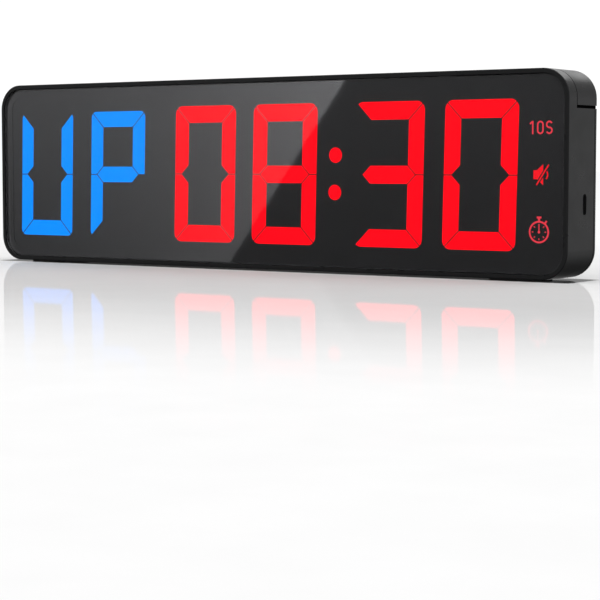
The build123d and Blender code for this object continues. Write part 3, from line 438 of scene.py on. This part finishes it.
screw_steel = metal("screw_zinc", (0.5, 0.5, 0.52), rough=(0.3, 0.45), scale=900.0)
dress(screw_steel, "display_screws", "board_screws", "upper_case_screws", "lower_case_screws")
GROUND = (1.0, 1.0, 12.0)
TURNED = (1.0, 1.0, 20.0)
rod_chrome = metal("polished_rod", (0.75, 0.75, 0.77), rough=(0.06, 0.12), stretch=GROUND, grain=0.03)
dress(rod_chrome, "handle_rods")
dress(metal("turned_steel", (0.42, 0.42, 0.44), stretch=TURNED), "rod_collars")
dress(metal("turned_brass", (0.75, 0.53, 0.22), stretch=TURNED), "rod_bushes")
dress(metal("connector_steel", (0.32, 0.32, 0.34), rough=(0.3, 0.42)), "usb_shell")
dress(metal("magnet_steel", (0.28, 0.28, 0.3), rough=(0.35, 0.5)), "speaker_magnet")

cone = Graph("pressed_paper")
fibre = cone.noise(700.0, 6.0, 0.7)
cone.shader(
    Base_Color=cone.between(fibre, (0.02, 0.019, 0.018), (0.05, 0.047, 0.044)),
    Roughness=0.9,
    Normal=cone.bump(fibre, 0.5, 0.0001),
)
dress(cone.material, "speaker_cone")

board = Graph("solder_mask")
weave = board.noise(350.0, 3.0)
board.shader(
    Base_Color=board.ramp(weave, (0.35, (0.008, 0.07, 0.03)), (0.65, (0.014, 0.11, 0.05))),
    Roughness=0.35,
    Coat_Weight=0.4,
)
dress(board.material, "display_board", "main_board")

# ---------------------------------------------------------------- camera
CAMERA_PLACE = (0.5201, -0.7319, 0.0520)
CAMERA_TILT = 85.70
CAMERA_TURN = 34.49
CAMERA_LENS = 107.74

camera_data = bpy.data.cameras.new("camera")
camera_data.sensor_width = 36.0
camera_data.lens = CAMERA_LENS
camera_data.clip_start = 0.05
camera_data.clip_end = 50.0
camera = bpy.data.objects.new("camera", camera_data)
camera.location = CAMERA_PLACE
camera.rotation_euler = Euler((math.radians(CAMERA_TILT), 0.0, math.radians(CAMERA_TURN)))
scene.collection.objects.link(camera)
scene.camera = camera


# ---------------------------------------------------------------- floor
def plane(name, corners):
    """A flat four-cornered stage piece, with its real place in its mesh."""
    mesh = bpy.data.meshes.new(name)
    mesh.from_pydata([tuple(c) for c in corners], [], [tuple(range(len(corners)))])
    piece = bpy.data.objects.new(name, mesh)
    scene.collection.objects.link(piece)
    return piece


FLOOR_HALF = 12.0
FLOOR_TONES = (0.9, 0.92)
MIRROR_REACH = 0.40
MIRROR_ROUGHNESS = 0.03
# Mirrored share of the light, from the case outwards, as shares of the reach.
MIRROR_FADE = ((0.0, 0.22), (0.15, 0.29), (0.35, 0.34), (0.55, 0.26), (0.75, 0.11), (0.9, 0.02), (1.0, 0.0))
# Painted contact shadow: the floor colour is darkened to SHADE_TONE at the footprint's edge and comes back to
# its own tone over SHADE_REACH outside it.
SHADE_REACH = 0.003
SHADE_TONE = 0.06


def grey(level):
    return (level, level, level)


def beyond(g, axes, axis, half):
    """How far a point of the floor lies outside the footprint along one axis."""
    past = g.math("SUBTRACT", g.math("ABSOLUTE", axes[axis]), half)
    return g.math("MAXIMUM", past, 0.0)


def pale_floor():
    """A pale table top that mirrors the case near it, with a painted contact shadow that makes it almost
    black where the case stands.
    """
    g = Graph("pale_floor")
    axes = g.split()
    past_side = beyond(g, axes, "X", case_high.x)
    past_face = beyond(g, axes, "Y", -front_y)
    squares = [g.math("MULTIPLY", past, past) for past in (past_side, past_face)]
    away = g.math("SQRT", g.math("ADD", *squares))
    fade = g.spread(away, 0.0, 1.0, 0.0, MIRROR_REACH)
    share = g.ramp(fade, *[(place, grey(level)) for place, level in MIRROR_FADE], ease="B_SPLINE")
    shade = g.ramp(g.spread(away, 0.0, 1.0, 0.0, SHADE_REACH), (0.0, grey(SHADE_TONE)), (1.0, WHITE))
    dark, light = FLOOR_TONES
    shaded = g.add("ShaderNodeMix", data_type="RGBA", blend_type="MULTIPLY")
    shaded.inputs["Factor"].default_value = 1.0
    g.put(shaded.inputs[6], g.between(g.noise(40.0, 5.0), grey(dark), grey(light)))
    g.put(shaded.inputs[7], shade)
    matte = g.add("ShaderNodeBsdfDiffuse")
    g.put(matte.inputs["Color"], shaded.outputs[2])
    gloss = g.add("ShaderNodeBsdfGlossy")
    gloss.inputs["Roughness"].default_value = MIRROR_ROUGHNESS
    gloss.inputs["Color"].default_value = (*WHITE, 1.0)
    mixed = g.add("ShaderNodeMixShader")
    g.put(mixed.inputs[0], share)
    g.put(mixed.inputs[1], matte.outputs[0])
    g.put(mixed.inputs[2], gloss.outputs[0])
    g.put(g.output.inputs["Surface"], mixed.outputs[0])
    return g.material


floor = plane(
    "floor",
    [(x * FLOOR_HALF, y * FLOOR_HALF, 0) for x, y in ((-1, -1), (1, -1), (1, 1), (-1, 1))],
)
floor.visible_glossy = False
floor.visible_transmission = False
floor.data.materials.append(pale_floor())


# ---------------------------------------------------------------- light
def card(name, corners, material):
    """A soft light that shows only in mirrored and refracted light."""
    piece = plane(name, corners)
    piece.visible_camera = False
    piece.visible_diffuse = False
    piece.visible_shadow = False
    piece.data.materials.append(material)
    return piece


def emission(g, strength):
    """Lets a card shine with the given strength."""
    lamp = g.add("ShaderNodeEmission")
    g.put(lamp.inputs["Strength"], strength)
    g.put(g.output.inputs["Surface"], lamp.outputs[0])
    return g.material


# The display mirrors a large softbox that stands in front of it. Its lit half ends in a slanted edge.
# The image is where the camera seems to be when it is mirrored in the display.
camera_image = Vector((camera.location.x, 2 * front_y - camera.location.y, camera.location.z))
# The softbox stands this many times as far from that image as the display does.
CARD_REACH = 3.0
CARD_HALF_W = 0.24
CARD_HALF_H = 0.075
# Ends of the slanted edge on the display, from its middle.
EDGE_TOP = (0.05365, 0.04574)
EDGE_BOTTOM = (-0.01824, -0.04712)
HEIGHT_EASE = 1.2
FALL = 0.115 * CARD_REACH
LIT_GAIN = 1.65
LIT_FLOOR = 0.69
LIT_LOW = 0.44
LIT_CUT = 0.16
DIM = (0.15, 0.33)
STRIP_STRENGTH = (3.4, 3.6)
STRIP_LEFT, STRIP_RIGHT = -0.55, 0.35
STRIP_LOW = (1.15, 0.62)
STRIP_HIGH = (0.95, 1.0)


def on_card(face_x, face_h):
    """Where the softbox shows at a point of the display, in metres from its middle."""
    point = Vector((face_x, front_y, mid_z + face_h))
    return camera_image + CARD_REACH * (point - camera_image)


def softbox_light():
    """Brightest along the slanted edge, rising with height, and dim beyond the edge."""
    top, bottom = on_card(*EDGE_TOP), on_card(*EDGE_BOTTOM)
    slope = (top.x - bottom.x) / (top.z - bottom.z)
    g = Graph("softbox")
    axes = g.split()
    rise = g.math("MULTIPLY", g.math("SUBTRACT", axes["Z"], bottom.z), slope)
    past_edge = g.math("SUBTRACT", axes["X"], g.math("ADD", rise, bottom.x))
    height = g.math("POWER", g.spread(axes["Z"], 0.0, 1.0, bottom.z, top.z), HEIGHT_EASE)
    falloff = g.math("EXPONENT", g.math("DIVIDE", past_edge, FALL))
    lit = g.math("ADD", g.math("MULTIPLY", falloff, LIT_GAIN), LIT_FLOOR)
    lit = g.math("SUBTRACT", g.math("MULTIPLY", lit, g.spread(height, LIT_LOW, 1.0)), LIT_CUT)
    is_lit = g.math("LESS_THAN", past_edge, 0.0)
    is_dim = g.math("SUBTRACT", 1.0, is_lit)
    lit_part = g.math("MULTIPLY", is_lit, lit)
    dim_part = g.math("MULTIPLY", is_dim, g.spread(height, *DIM))
    return emission(g, g.math("ADD", lit_part, dim_part))


def strip_light():
    """Almost even light, with broad soft patches."""
    g = Graph("strip_light")
    return emission(g, g.spread(g.noise(1.5, 1.0), *STRIP_STRENGTH))


card_low = on_card(-CARD_HALF_W, -CARD_HALF_H)
card_high = on_card(CARD_HALF_W, CARD_HALF_H)
card(
    "softbox_front",
    [
        (card_low.x, card_low.y, card_low.z),
        (card_high.x, card_low.y, card_low.z),
        (card_high.x, card_low.y, card_high.z),
        (card_low.x, card_low.y, card_high.z),
    ],
    softbox_light(),
)

# A strip behind and above the right end, seen in the rounded top corner.
card(
    "softbox_corner",
    [
        (STRIP_LEFT, *STRIP_LOW),
        (STRIP_RIGHT, *STRIP_LOW),
        (STRIP_RIGHT, *STRIP_HIGH),
        (STRIP_LEFT, *STRIP_HIGH),
    ],
    strip_light(),
)

# Shiny surfaces see a studio that is dark below, bright at the horizon, dimmer above it and bright overhead.
# A stop is a height, from 0 straight down to 1 straight up, and the strength there.
STUDIO_STOPS = ((0.3, 0.05), (0.5, 0.95), (0.6, 0.6), (1.0, 1.0))
BACKDROP_STRENGTH = 1.05
FILL_STRENGTH = 1.14


class WorldGraph(Graph):
    """The node helpers, for the world."""

    def __init__(self, world):
        world.use_nodes = True
        self.tree = world.node_tree
        self.tree.nodes.clear()
        self.output = self.add("ShaderNodeOutputWorld")
        self.place = self.add("ShaderNodeTexCoord").outputs["Generated"]

    def choose(self, factor, value, other):
        """The first value where the factor is 0, and the other where it is 1."""
        node = self.add("ShaderNodeMix", data_type="FLOAT")
        self.put(node.inputs["Factor"], factor)
        self.put(node.inputs[2], value)
        self.put(node.inputs[3], other)
        return node.outputs[0]


scene.world = bpy.data.worlds.new("studio")
g = WorldGraph(scene.world)
rays = g.add("ShaderNodeLightPath").outputs
rise = g.spread(g.split()["Z"], 0.0, 1.0, -1.0, 1.0)
glare = g.ramp(rise, *[(height, grey(strength)) for height, strength in STUDIO_STOPS])
seen = g.choose(rays["Is Camera Ray"], glare, BACKDROP_STRENGTH)
sky = g.add("ShaderNodeBackground")
g.put(sky.inputs["Color"], (*WHITE, 1.0))
g.put(sky.inputs["Strength"], g.choose(rays["Is Diffuse Ray"], seen, FILL_STRENGTH))
g.put(g.output.inputs["Surface"], sky.outputs[0])

scene.view_settings.view_transform = "Standard"
scene.view_settings.look = "None"
